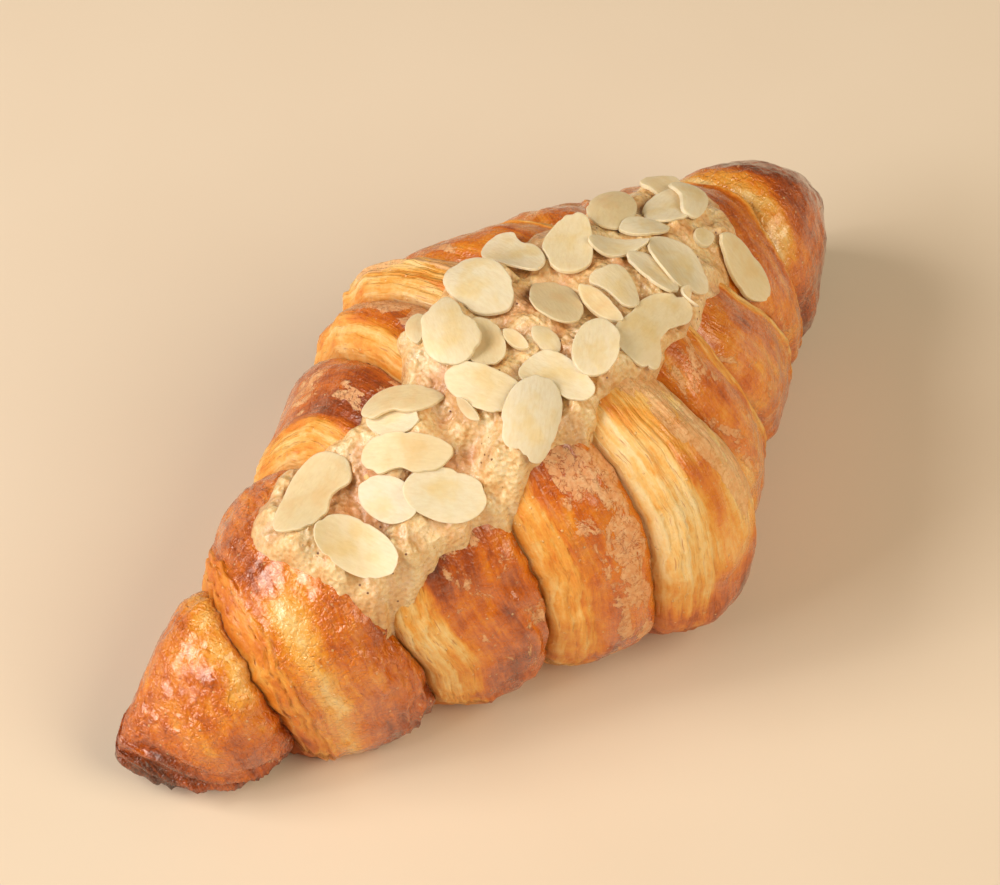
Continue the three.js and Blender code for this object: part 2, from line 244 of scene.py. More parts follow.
class PastryGrid:
    """Every ring and side of the pastry, with what the surface and its colours are worked out from."""

    def __init__(self):
        self.band, self.share = ring_places()
        self.angle = side_angles()[None, :] + np.zeros((len(self.band), 1))
        edge = borders(self.angle[0])
        low = edge[self.band]
        high = edge[self.band + 1]
        self.x = mix(low, high, self.share[:, None])
        self.from_low = self.x - low
        self.from_high = high - self.x
        self.find_strips()

    def find_strips(self):
        """Distance from the cut and tucked edges, and from the cut as a share of its strip's width."""
        band = self.band[:, None]
        low_side = np.clip((1 - np.sin(self.angle)) * 0.8, 0, 1)
        low_cut = (band >= 1) & (band <= MIDDLE_BAND)
        high_cut = (band >= MIDDLE_BAND) & (band < BAND_COUNT - 1)
        self.low_cut = np.where(low_cut, self.from_low, FAR_AWAY)
        self.high_cut = np.where(high_cut, self.from_high, FAR_AWAY)
        self.low_tuck = np.where(band > MIDDLE_BAND, self.from_low, FAR_AWAY)
        self.high_tuck = np.where(band < MIDDLE_BAND, self.from_high, FAR_AWAY)
        strips = np.array([seam["strip"] for seam in SEAMS])
        low_strip = strips[np.maximum(band - 1, 0)]
        high_strip = strips[np.minimum(band, len(SEAMS) - 1)]
        self.low_width = mix(low_strip[..., 0], low_strip[..., 1], low_side)
        self.high_width = mix(high_strip[..., 0], high_strip[..., 1], low_side)
        depths = np.array([seam["depth"] for seam in SEAMS])
        low_depth = depths[np.maximum(band - 1, 0)]
        high_depth = depths[np.minimum(band, len(SEAMS) - 1)]
        middle_share = smoothstep(self.from_low / (self.from_low + self.from_high), 0.3, 0.7)
        self.depth = mix(np.where(band > 0, low_depth, high_depth), high_depth, middle_share)
        self.cut = np.minimum(self.low_cut, self.high_cut)
        self.strip = np.minimum(self.low_cut / self.low_width, self.high_cut / self.high_width)

    def smooth_section(self):
        """The section without creases: distance across, rise from the widest level, and that level."""
        top = along(TOP_HEIGHT, self.x)
        lift = along(BASE_LIFT, self.x)
        middle = lift + WIDEST_LEVEL * (top - lift)
        upper = np.sin(self.angle) >= 0
        exponent = np.where(upper, 2 / UPPER_ROUNDNESS, 2 / LOWER_ROUNDNESS)
        front = np.cos(self.angle) >= 0
        reach = np.where(front, along(FRONT_REACH, self.x), along(BACK_REACH, self.x))
        depth = np.where(upper, top - middle, middle - lift + BASE_PRESS)
        across = reach * power(np.cos(self.angle), exponent)
        rise = depth * power(np.sin(self.angle), exponent)
        return across, rise, middle

    def place(self, sink, shift):
        """Points in mm, sunk towards the middle of the section and shifted along X."""
        across, rise, middle = self.smooth_section()
        fade = smoothstep(middle + rise, 0, BASE_FADE)
        radius = np.hypot(across, rise)
        nose = np.clip((np.abs(self.x) - HALF_LENGTH + NOSE_LENGTH) / NOSE_LENGTH, 0, 1)
        scale = (1 - fade * sink / np.maximum(radius, 1)) * np.sqrt(1 - nose**2)
        sweep = np.where(self.x < 0, NEAR_SWEEP, FAR_SWEEP)
        slope = 2 * sweep * self.x / HALF_LENGTH**2
        length = np.hypot(slope, 1)
        x = self.x + shift + scale * across * slope / length
        y = FOOTPRINT_OFFSET + sweep * (self.x / HALF_LENGTH) ** 2 - scale * across / length
        z = np.maximum(0, middle + scale * rise)
        return np.stack([x, y, z], -1)


def strand_phase(grid, grain):
    """Whole numbers are the gaps between the strands of the layered strips."""
    wander = 0.9 * noise(grain, (4.0, 14.0, 1.0), 11) + 0.35 * noise(grain, (2.0, 5.0, 1.0), 12)
    even = 1 - 0.6 * (grid.band[:, None] == 1)  # the second band's strands are straighter
    return grid.cut / STRAND_WIDTH + even * wander


def strip_layers(grid, grain):
    """Height in mm of the strands in the layered strips, where the rolled dough was cut."""
    phase = strand_phase(grid, grain)
    tread = phase - np.floor(phase)
    strand = np.sqrt(np.clip(1 - (2 * tread - 1) ** 2, 0, 1)) + 0.4 * tread
    mask = smoothstep(grid.strip, 1.25, 0.85) * smoothstep(grid.cut, 0.0, 0.6)
    loose = 0.40 * noise(grain, (1.8, 11.0, 1.0), 13)
    bundle = 1 + 1.2 * (grid.band[:, None] == 1)  # the second band's strands stand out more
    return (0.42 * bundle * strand + loose) * mask


def tip_folds(grid, points):
    """Height in mm of the folds and flaky layers round the pinched near tip."""
    level = points[..., 2] + 0.3 * (grid.x + HALF_LENGTH) + 2.2 * noise(points, 9.0, 14)
    phase = level / FOLD_HEIGHT
    tread = phase - np.floor(phase)
    tip = smoothstep(grid.x, -76.0, -85.0) * smoothstep(points[..., 2], 17, 11)
    under = smoothstep(grid.x, -62.0, -72.0) * smoothstep(points[..., 2], 11, 7)
    ragged = 1 + 0.7 * noise(points, 4.0, 18)
    return np.maximum(tip, under) * ragged * (5.6 * np.abs(tread - 0.5) - 1.6)


def torn_layers(grid, points, grain):
    """Height in mm of the loose layers low on the front of two bands, beside the next seam."""
    band = grid.band[:, None]
    near_seam = smoothstep(grid.high_tuck, 12, 4) * ((band == 1) + 0.5 * (band == 2))
    torn = near_seam * smoothstep(np.cos(grid.angle), 0.55, 0.9) * smoothstep(points[..., 2], 1, 5)
    ridges = 1 - 2 * np.abs(noise(grain, (2.2, 9.0, 1.0), 15))
    return torn * (1.3 * ridges + 0.4 * noise(grain, (1.4, 5.0, 1.0), 16) - 0.5)


def base_layers(points):
    """Height in mm of the thin flaky layers that show along the foot of the pastry."""
    phase = (points[..., 2] + 1.5 * noise(points, 11.0, 17)) / FOOT_LAYER_HEIGHT
    tread = phase - np.floor(phase)
    return 0.5 * (tread - 0.5) * smoothstep(points[..., 2], 9, 5) * smoothstep(points[..., 2], 0.2, 1.2)


def make_relief(grid, points, grain):
    """Raised detail in mm on the pastry, from broad lumps down to the fine streaks."""
    lumps = 0.8 * noise(points, LUMP_SIZE, 21) + 0.45 * noise(points, 6.0, 22)
    streaks = 0.22 * rough_noise(grain, (1.5, 14.0, 1.0), 24, 2)
    fine = 0.08 * noise(points, 1.6, 25)
    blister = np.clip(noise(points, 4.2, 26) - 0.45, 0, 1) * smoothstep(grid.strip, 2.2, 0.3)
    wrinkle = np.take(WRINKLE, grid.band)[:, None]
    worms = 0.26 * wrinkle * (1 - 2 * np.abs(noise(points, (1.8, 1.8, 2.4), 27)))
    far_tip = 0.5 * smoothstep(grid.x, 76.0, 86.0) * np.sin(9 * grid.angle + noise(points, 6.0, 30))
    layers = tip_folds(grid, points) + torn_layers(grid, points, grain) + base_layers(points)
    return lumps + streaks + fine + blister + worms + far_tip + layers


def lip_shift(grid, grain):
    """How far the cut edges lean out over the next band, in mm along X."""
    ragged = 0.75 + 0.5 * noise(grain, (50.0, 6.0, 1.0), 31)
    low = -np.exp(-(((grid.low_cut - 1.0) / 0.8) ** 2))
    high = np.exp(-(((grid.high_cut - 1.0) / 0.8) ** 2))
    return LIP_LEAN * ragged * (low + high)


def make_grain(grid):
    """Coordinates in mm that follow the dough: across the band, along it, and apart for each band."""
    band_spacing = 37.0
    along_band = grid.angle * HALF_GIRTH
    across_band = np.where(grid.low_cut < FAR_AWAY, grid.from_low, grid.from_high)
    apart = grid.band[:, None] * band_spacing + np.zeros_like(grid.x)
    return np.stack([across_band, along_band, apart], -1)


def make_bake(grid, points, grain):
    """How dark the dough is baked, from 0 (cream) to 1 (deep brown), and the mask of the strips."""
    band = grid.band[:, None]
    crest = np.take(CREST_BAKE, grid.band)[:, None] + np.zeros_like(grid.x)
    pale = np.take(STRIP_BAKE, grid.band)[:, None] + np.zeros_like(grid.x)
    strip = smoothstep(grid.strip + 0.25 * noise(grain, (4.0, 7.0, 1.0), 41), 1.2, 0.6)
    ridge = np.sin(grid.angle)
    bake = crest + 0.08 * smoothstep(ridge, 0.5, 1.0) * (band > 1)
    bake += 0.06 * smoothstep(ridge, 0.4, -0.1) * (band > 0) * (band < 4)
    # A crest is darkest in the middle of its band, and paler where it goes under its neighbour.
    tuck = np.minimum(grid.low_tuck, grid.high_tuck)
    bake -= 0.08 * smoothstep(tuck, 6, 1) * (band > 1) * (band < 7)
    phase = strand_phase(grid, grain)
    tread = phase - np.floor(phase)
    bake = mix(bake, pale + 0.10 * (0.5 - tread) + 0.05 * np.sin(2.4 * np.floor(phase)), strip)
    bake += 0.16 * rough_noise(points, 9.0, 42) + 0.12 * noise(grain, (1.8, 18.0, 1.0), 43)
    # The golden streak down the front of the middle band, and its brown foot and back.
    streak = np.exp(-(((grid.from_high - 11.0) / 2.2) ** 2)) * smoothstep(ridge, 0.1, 0.5)
    bake += 0.22 * streak * (band == MIDDLE_BAND)
    bake += 0.16 * (band == MIDDLE_BAND) * smoothstep(ridge, 0.55, 0.05)
    # Where the tips come out from under their neighbours, they are pale.
    ground = 0.24 + 0.25 * noise(grain, (2.0, 12.0, 1.0), 44)
    far_pale = (band == BAND_COUNT - 1) * smoothstep(grid.low_tuck, 8, 3)
    bake = mix(bake, ground, far_pale * smoothstep(ridge, 0.3, 0.8))
    near_pale = (band == 0) * smoothstep(grid.high_tuck, 8, 2)
    bake = mix(bake, ground, 0.7 * near_pale * smoothstep(ridge, 0.35, 0.75))
    # The second band has a pale, smooth blister behind its strands.
    blister = (band == 1) * np.exp(-(((grid.from_low - 7.5) / 2.8) ** 2))
    bake -= 0.46 * blister * smoothstep(np.cos(grid.angle), 0.0, 0.35)
    # Both ends and the foot are baked darker.
    bake += 0.14 * smoothstep(grid.x, -78.0, -86.0) * smoothstep(points[..., 2], 20, 10)
    bake += 0.12 * smoothstep(grid.x, 74.0, 86.0)
    bake += 0.12 * smoothstep(points[..., 2], 14.0, 3.0) * ((band == 0) + (band > MIDDLE_BAND))
    bake += 0.11 * smoothstep(points[..., 2], 26.0, 8.0)
    bake += 0.22 * smoothstep(points[..., 2], 36.0, 16.0) * (band == MIDDLE_BAND)
    bake += 0.12 * smoothstep(points[..., 2], 3.0, 0.0)
    return np.clip(bake, 0, 1), strip


def make_crust(grid):
    """How much matte crust there is: none in the strips, most beside the middle band's far edge."""
    band = grid.band[:, None]
    crust = np.take(CRUST, grid.band)[:, None] * smoothstep(grid.strip, 0.8, 1.4)
    edge = (band == MIDDLE_BAND) * smoothstep(grid.from_high, 10, 6)
    edge = edge * smoothstep(np.sin(grid.angle), 0.1, 0.4)
    return np.maximum(crust, 0.95 * edge)


def painted_crease_shade(grid):
    """Mask of the painted shade in the creases: 1 deep in a seam, fading out over about a millimetre."""
    distance = np.minimum(grid.from_low, grid.from_high)
    seamed = (grid.band[:, None] > 0) | (grid.from_high < 10)
    return np.exp(-np.minimum(distance, 50) / CREASE_FADE) * seamed


# ---------------------------------------------------------------- meshes


def new_mesh_object(name, points, faces):
    """A smooth-shaded mesh object from points in mm."""
    mesh = bpy.data.meshes.new(name)
    mesh.from_pydata([tuple(p) for p in points * MM], [], faces)
    mesh.polygons.foreach_set("use_smooth", [True] * len(mesh.polygons))
    mesh.update()
    piece = bpy.data.objects.new(name, mesh)
    bpy.context.scene.collection.objects.link(piece)
    return piece


def store(piece, name, values):
    """Keeps one number, or one vector, for every point of the mesh."""
    flat = np.asarray(values, np.float32)
    kind = "FLOAT_VECTOR" if flat.ndim == 2 else "FLOAT"
    layer = piece.data.attributes.new(name, kind, "POINT")
    layer.data.foreach_set("vector" if flat.ndim == 2 else "value", flat.ravel())


def ring_faces(rings, sides):
    """Quads round a row of rings, and the triangles that close both ends on a last two points."""
    r, s = np.meshgrid(np.arange(rings - 1), np.arange(sides), indexing="ij")
    right = (s + 1) % sides
    near = r * sides
    far = near + sides
    quads = np.stack([near + s, far + s, far + right, near + right], -1)
    faces = [tuple(int(v) for v in quad) for quad in quads.reshape(-1, 4)]
    start = rings * sides
    last = (rings - 1) * sides
    for i in range(sides):
        faces.append((start, i, (i + 1) % sides))
        faces.append((start + 1, last + (i + 1) % sides, last + i))
    return faces


def make_pastry():
    grid = PastryGrid()
    grain = make_grain(grid)
    strip_width = np.where(grid.low_cut < grid.high_cut, grid.low_width, grid.high_width)
    slope_width = np.maximum(LEAST_SLOPE_WIDTH, strip_width)
    fall = cut_fall(grid.cut, slope_width) + tuck_fall(np.minimum(grid.low_tuck, grid.high_tuck))
    uneven = 0.5 * np.sin(2 * grid.angle + grid.x / 17) + 0.4 * np.sin(3 * grid.angle - grid.x / 11)
    sink = grid.depth * np.minimum(fall, 1) - uneven
    plain = grid.place(sink, 0)
    sink = sink - make_relief(grid, plain, grain) - strip_layers(grid, grain)
    points = grid.place(sink, lip_shift(grid, grain))

    rings, sides = grid.x.shape
    noses = np.stack([points[0].mean(0), points[-1].mean(0)])
    noses[:, 0] = (-HALF_LENGTH, HALF_LENGTH)
    points = np.vstack([points.reshape(-1, 3), noses])
    piece = new_mesh_object("baked_pastry", points, ring_faces(rings, sides))
    bake, strip = make_bake(grid, plain, grain)

    def with_noses(values):
        flat = values.reshape(-1, *values.shape[2:])
        return np.concatenate([flat, flat[:1], flat[-1:]])

    store(piece, "bake", with_noses(bake))
    store(piece, "strip", with_noses(strip))
    store(piece, "grain", with_noses(grain))
    # The crease mask is painted shade for the bottoms of the creases.
    store(piece, "crease", with_noses(painted_crease_shade(grid)))
    store(piece, "crust", with_noses(make_crust(grid)))
    store(piece, "wrinkle", with_noses(np.take(WRINKLE, grid.band)[:, None] * (1 - 0.9 * strip)))
    return piece


# ---------------------------------------------------------------- almond cream

# Outline of the cream on the plan, in mm, from the near end along the front and back again.
CREAM_OUTLINE = [
    (-58, 7), (-53.5, -5.5), (-48, -13.5), (-44.5, -14), (-37.5, -16.5), (-34, -14.5), (-27, -18.5),
    (-23, -19.5), (-17, -19), (-11, -18.5), (-6, -22.5), (-1, -20), (6.5, -19), (11.5, -20.5),
    (30.5, -15), (48.5, -7.5), (53.5, -3), (56.5, 3.5), (54, 9), (47.5, 16), (36.5, 16), (25.5, 15.5),
    (16, 16.5), (6.5, 17), (-3.5, 18), (-11, 18), (-19.5, 11.5), (-29.5, 11.5), (-36.5, 15),
    (-43.5, 18.5), (-53.5, 16),
]
CREAM_STEP = 0.36
CREAM_X_REACH = (-60, 63.5)
CREAM_Y_REACH = (-27, 23)
CREAM_THICKNESS = 1.6
LEAST_CREAM_THICKNESS = 0.35
CREAM_RIM_WIDTH = 0.9
CREAM_ROOT = 1.2  # how deep its underside lies in the pastry
# Thick dollops and thin, scraped places: X, Y, radius and change of thickness.
DOLLOPS = [
    (-45.5, -11, 6, 1.6), (-38.5, -13.5, 5, 1.4), (-17.5, -15.5, 7, 1.8), (-6.5, -20, 5, 1.3),
    (-53.5, 5, 6, 0.8), (7.5, -17, 6, 0.8), (43.5, 2, 8, 0.8), (27.5, 8, 7, 0.5), (-21.5, 2, 5, 0.6),
    (-37, 1.5, 6, -1.9), (-25.5, -8, 5, -1.6), (5.5, 5, 6, -1.5), (-16.5, 4, 5, -0.8),
    (-42.5, -1, 5, -1.2),
]


def distance_inside(points, outline):
    """Distance in mm from the outline, positive inside it."""
    corners = np.asarray(outline, float)
    nearest = np.full(points.shape[:-1], 1e9)
    inside = np.zeros(points.shape[:-1], bool)
    for a, b in zip(corners, np.roll(corners, -1, axis=0)):
        edge = b - a
        share = np.clip(((points - a) @ edge) / (edge @ edge), 0, 1)
        nearest = np.minimum(nearest, np.linalg.norm(points - a - share[..., None] * edge, axis=-1))
        crosses = (a[1] > points[..., 1]) != (b[1] > points[..., 1])
        height = edge[1] if abs(edge[1]) > 1e-9 else 1e-9
        at = a[0] + (points[..., 1] - a[1]) * edge[0] / height
        inside ^= crosses & (points[..., 0] < at)
    return np.where(inside, nearest, -nearest)


def surface_heights(tree, xs, ys):
    """Height in mm of a surface, and how level it is from 0 to 1, at every point of a plan."""
    height = np.zeros((len(xs), len(ys)))
    level = np.ones_like(height)
    start_height = 100
    down = Vector((0, 0, -1))
    for i, x in enumerate(xs):
        for j, y in enumerate(ys):
            hit, normal, _, _ = tree.ray_cast(Vector((x, y, start_height)) * MM, down)
            if hit is not None:
                height[i, j] = hit.z / MM
                level[i, j] = normal.z
    return height, level


def blur(field, radius):
    """Field averaged over a window of radius cells each way."""
    for axis in (0, 1):
        spread = np.zeros_like(field)
        for step in range(-radius, radius + 1):
            spread += np.roll(field, step, axis)
        field = spread / (2 * radius + 1)
    return field


def make_cream(pastry_tree):
    """Cream spread over the pastry, bridging its creases. Its thickness is across the surface."""
    xs = np.arange(*CREAM_X_REACH, CREAM_STEP)
    ys = np.arange(*CREAM_Y_REACH, CREAM_STEP)
    height, level = surface_heights(pastry_tree, xs, ys)
    bridged = np.maximum(height, mix(height, blur(height, 9), 0.85))
    level = np.clip(blur(level, 5), 0.55, 1)
    plan = np.stack(np.meshgrid(xs, ys, indexing="ij"), -1)
    flat = np.concatenate([plan, np.zeros_like(plan[..., :1])], -1)

    ragged = 1.4 * noise(flat, 5.5, 51) + 0.8 * noise(flat, 2.4, 52) + 0.35 * noise(flat, 1.1, 53)
    depth = distance_inside(plan, CREAM_OUTLINE) + ragged
    thickness = CREAM_THICKNESS + 0.8 * noise(flat, 8.0, 54) + 1.2 * noise(flat, 4.2, 55)
    for x, y, radius, change in DOLLOPS:
        reach = np.hypot(plan[..., 0] - x, plan[..., 1] - y) / radius
        thickness += change * np.exp(-(reach**2))
    thickness = np.maximum(thickness, LEAST_CREAM_THICKNESS)
    grains = 0.40 * noise(flat, 2.2, 56) + 0.30 * noise(flat, 1.2, 57)
    rim = np.where(depth > 0, 1 - np.exp(-depth / CREAM_RIM_WIDTH), depth / CREAM_RIM_WIDTH)
    rise = thickness * np.clip(rim, -1.2, 1) + grains * smoothstep(depth, 0, 1)
    filled = mix(height, bridged, smoothstep(depth, 0, 2))
    top = np.where(depth > 0, filled, height) + rise / level
    under = height - CREAM_ROOT / level

    keep = depth > -1.6 * CREAM_STEP
    looks = {
        "thickness": thickness,
        "rim": np.exp(-np.maximum(depth, 0) / 1.2),
        # Painted shade in the hollows between the cream's grains.
        "painted_hollow_shade": smoothstep(grains + 0.5 * noise(flat, 3.0, 58), 0.15, -0.55),
    }
    return cream_mesh(keep, plan, top, np.minimum(under, top - 0.2), looks)


def cream_mesh(keep, plan, top, under, looks):
    """A closed sheet over the kept cells of the plan: its top, its underside and its rim."""
    cells = keep[:-1, :-1] & keep[1:, :-1] & keep[:-1, 1:] & keep[1:, 1:]
    cells = largest_patch(cells)
    number = -np.ones(keep.shape, int)
    used = np.zeros(keep.shape, bool)
    wide, deep = cells.shape
    for di, dj in np.ndindex(2, 2):
        used[di:di + wide, dj:dj + deep] |= cells
    number[used] = np.arange(used.sum())
    count = int(used.sum())
    points = np.vstack([np.column_stack([plan[used], level[used]]) for level in (top, under)])
    faces = []
    rim_edges = {}
    for i, j in np.argwhere(cells):
        loop = [number[i, j], number[i + 1, j], number[i + 1, j + 1], number[i, j + 1]]
        loop = [int(v) for v in loop]
        faces.append(tuple(loop))
        faces.append(tuple(v + count for v in reversed(loop)))
        for a, b in zip(loop, loop[1:] + loop[:1]):
            if (b, a) in rim_edges:
                del rim_edges[(b, a)]
            else:
                rim_edges[(a, b)] = True
    for a, b in rim_edges:
        faces.append((b, a, a + count, b + count))
    piece = new_mesh_object("cream_topping", points, faces)
    for name, values in looks.items():
        store(piece, name, np.tile(values[used], 2))
    return piece


def largest_patch(cells):
    """The cells joined side by side to the middle of the patch, without cells that touch by a corner."""
    reached = np.zeros_like(cells)
    reached[cells.shape[0] // 2, cells.shape[1] // 2] = True
    while True:
        grown = reached.copy()
        grown[1:] |= reached[:-1]
        grown[:-1] |= reached[1:]
        grown[:, 1:] |= reached[:, :-1]
        grown[:, :-1] |= reached[:, 1:]
        grown &= cells
        if (grown == reached).all():
            break
        reached = grown
    # Fill the corner where two cells meet only diagonally, so that the rim stays one clean loop.
    for _ in range(4):
        falling = reached[:-1, :-1] & reached[1:, 1:] & ~reached[1:, :-1] & ~reached[:-1, 1:]
        rising = ~reached[:-1, :-1] & ~reached[1:, 1:] & reached[1:, :-1] & reached[:-1, 1:]
        reached[1:, :-1] |= falling
        reached[:-1, :-1] |= rising
    return reached


# ---------------------------------------------------------------- flaked almonds

FLAKE_RIM_POINTS = 96
FLAKE_HALF_THICKNESS = 0.36
FLAKE_SPACING = 40.0  # keeps the noise of one flake apart from the next one's
FLAKE_SINK = 0.25  # how deep a flake's lowest places sit in the cream, in mm
REACH_BELOW = 6.0  # places with nothing this near below them don't bend the flake
# Rings from the rim to the middle: share of the outline and share of half the thickness.
FLAKE_RINGS = [
    (0.992, 0.0), (1.0, 0.55), (0.996, 0.85), (0.98, 0.98), (0.95, 1.0), (0.86, 1.0), (0.72, 1.0),
    (0.55, 1.0), (0.36, 1.0), (0.17, 1.0),
]


def flake_plane(points):
    """Middle, long axis, short axis and upward normal of a flat piece."""
    middle = points.mean(0)
    _, _, axes = np.linalg.svd(points - middle)
    normal = axes[2] * np.sign(axes[2][2])
    ahead = axes[0]
    return middle, ahead, np.cross(normal, ahead), normal


def flake_outline(local):
    """The flake's outline as a smooth closed loop, from the corners of the CAD flake."""
    low = local[local[:, 2] < 0]
    low = np.unique(np.round(low[:, :2], 3), axis=0)
    corners = low[np.argsort(np.arctan2(low[:, 1], low[:, 0]))]
    place = np.linspace(0, len(corners), FLAKE_RIM_POINTS, endpoint=False)
    index = np.floor(place).astype(int)
    t = (place - index)[:, None]
    return catmull(*(corners[(index + step) % len(corners)] for step in (-1, 0, 1, 2)), t)


def gaps_below(spots, normal, trees):
    """Distance in mm from each spot down to whatever lies under it, or a large one if nothing does."""
    start_height = 8.0
    gaps = []
    for spot in spots:
        start = Vector(spot + normal * start_height) * MM
        nearest = 3 * start_height
        for tree in trees:
            hit = tree.ray_cast(start, Vector(-normal), nearest * MM)[0]
            if hit is not None:
                nearest = min(nearest, (hit - start).length / MM)
        gaps.append(nearest - start_height)
    return np.array(gaps)


def bend_terms(flat, size):
    """The terms of a tilted, gently curved sheet at each place on a flake."""
    u = flat[:, 0] / size
    v = flat[:, 1] / size
    return np.stack([np.ones_like(u), u, v, u * u, u * v, v * v], -1)


def make_flake(name, index, trees):
    """A thin flake over its CAD flake, bent and lowered until it lies on what is under it."""
    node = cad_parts[name]
    corners = np.array([tuple(v.co) for v in node.data.vertices]) / MM
    middle, ahead, aside, normal = flake_plane(corners)
    axes = np.stack([ahead, aside, normal])
    outline = flake_outline((corners - middle) @ axes.T)
    size = np.abs(outline).max()
    seeded = np.column_stack([outline, np.full(len(outline), FLAKE_SPACING * index)])
    nicks = 1 + 0.04 * noise(seeded, 3.2, 61) - 0.14 * np.clip(noise(seeded, 1.7, 62) - 0.3, 0, 1)
    outline = outline * nicks[:, None]
    half = FLAKE_HALF_THICKNESS * (0.95 + 0.2 * math.sin(2.7 * index))

    samples = np.vstack([outline[::4] * share for share in (1.0, 0.8, 0.6, 0.4, 0.2)])
    bottom = middle - normal * half
    spots = bottom + samples @ axes[:2]
    gaps = gaps_below(spots, normal, trees)
    touching = gaps < REACH_BELOW
    terms = bend_terms(samples[touching], size)
    damping = np.diag([0, 0, 0, 0.6, 0.6, 0.6])
    fit = np.linalg.solve(terms.T @ terms + damping, terms.T @ gaps[touching])
    left = gaps[touching] - terms @ fit
    drop = left.min() + FLAKE_SINK

    flat = []
    side = []
    for share, level in FLAKE_RINGS:
        flat.append(outline * share)
        side.append(np.full(len(outline), level * half))
    for share, level in FLAKE_RINGS[1:]:
        flat.append(outline * share)
        side.append(np.full(len(outline), -level * half))
    flat = np.vstack(flat + [np.zeros((2, 2))])
    side = np.concatenate(side + [np.array([half, -half])])
    seeded = np.column_stack([flat, np.full(len(flat), FLAKE_SPACING * index)])
    waves = 0.10 * noise(seeded, 5.0, 63) + 0.03 * noise(seeded, 1.4, 64)
    fall = bend_terms(flat, size) @ fit + drop
    points = middle + flat @ axes[:2] + (side + waves - fall)[:, None] * normal

    piece = new_mesh_object(name.replace("almond_flake", "flaked_almond"), points, flake_faces())
    store(piece, "reach", np.linalg.norm(flat, axis=1) / size)
    # The rim mask carries a painted highlight along the flake's rounded edge.
    store(piece, "rim", np.clip((np.concatenate(rim_shares()) - 0.8) / 0.2, 0, 1))
    store(piece, "tint", np.full(len(points), 0.5 + 0.5 * math.sin(5.3 * index + 1.0)))
    store(piece, "pattern", seeded)
    return piece


def rim_shares():
    """How far out each point of a flake lies, in the order of its points."""
    shares = [share for share, _ in FLAKE_RINGS] + [share for share, _ in FLAKE_RINGS[1:]]
    return [np.full(FLAKE_RIM_POINTS, share) for share in shares] + [np.zeros(2)]


def flake_faces():
    """Faces over the top rings and the bottom rings, which share the first ring at the rim."""
    count = FLAKE_RIM_POINTS
    rings = len(FLAKE_RINGS)
    middle = count * (2 * rings - 1)
    top = list(range(rings))
    bottom = [0] + list(range(rings, 2 * rings - 1))
    faces = []
    for i in range(count):
        j = (i + 1) % count
        for outer, inner in zip(top, top[1:]):
            faces.append((outer * count + i, outer * count + j, inner * count + j, inner * count + i))
        faces.append((top[-1] * count + i, top[-1] * count + j, middle))
        for outer, inner in zip(bottom, bottom[1:]):
            faces.append((outer * count + j, outer * count + i, inner * count + i, inner * count + j))
        faces.append((bottom[-1] * count + j, bottom[-1] * count + i, middle + 1))
    return faces


# ---------------------------------------------------------------- materials


def colour(red, green, blue):
    """A colour given as it looks on a screen, from 0 to 255, for a shader."""
    def linear(value):
        value /= 255
        return value / 12.92 if value <= 0.04045 else ((value + 0.055) / 1.055) ** 2.4
    return (linear(red), linear(green), linear(blue), 1.0)


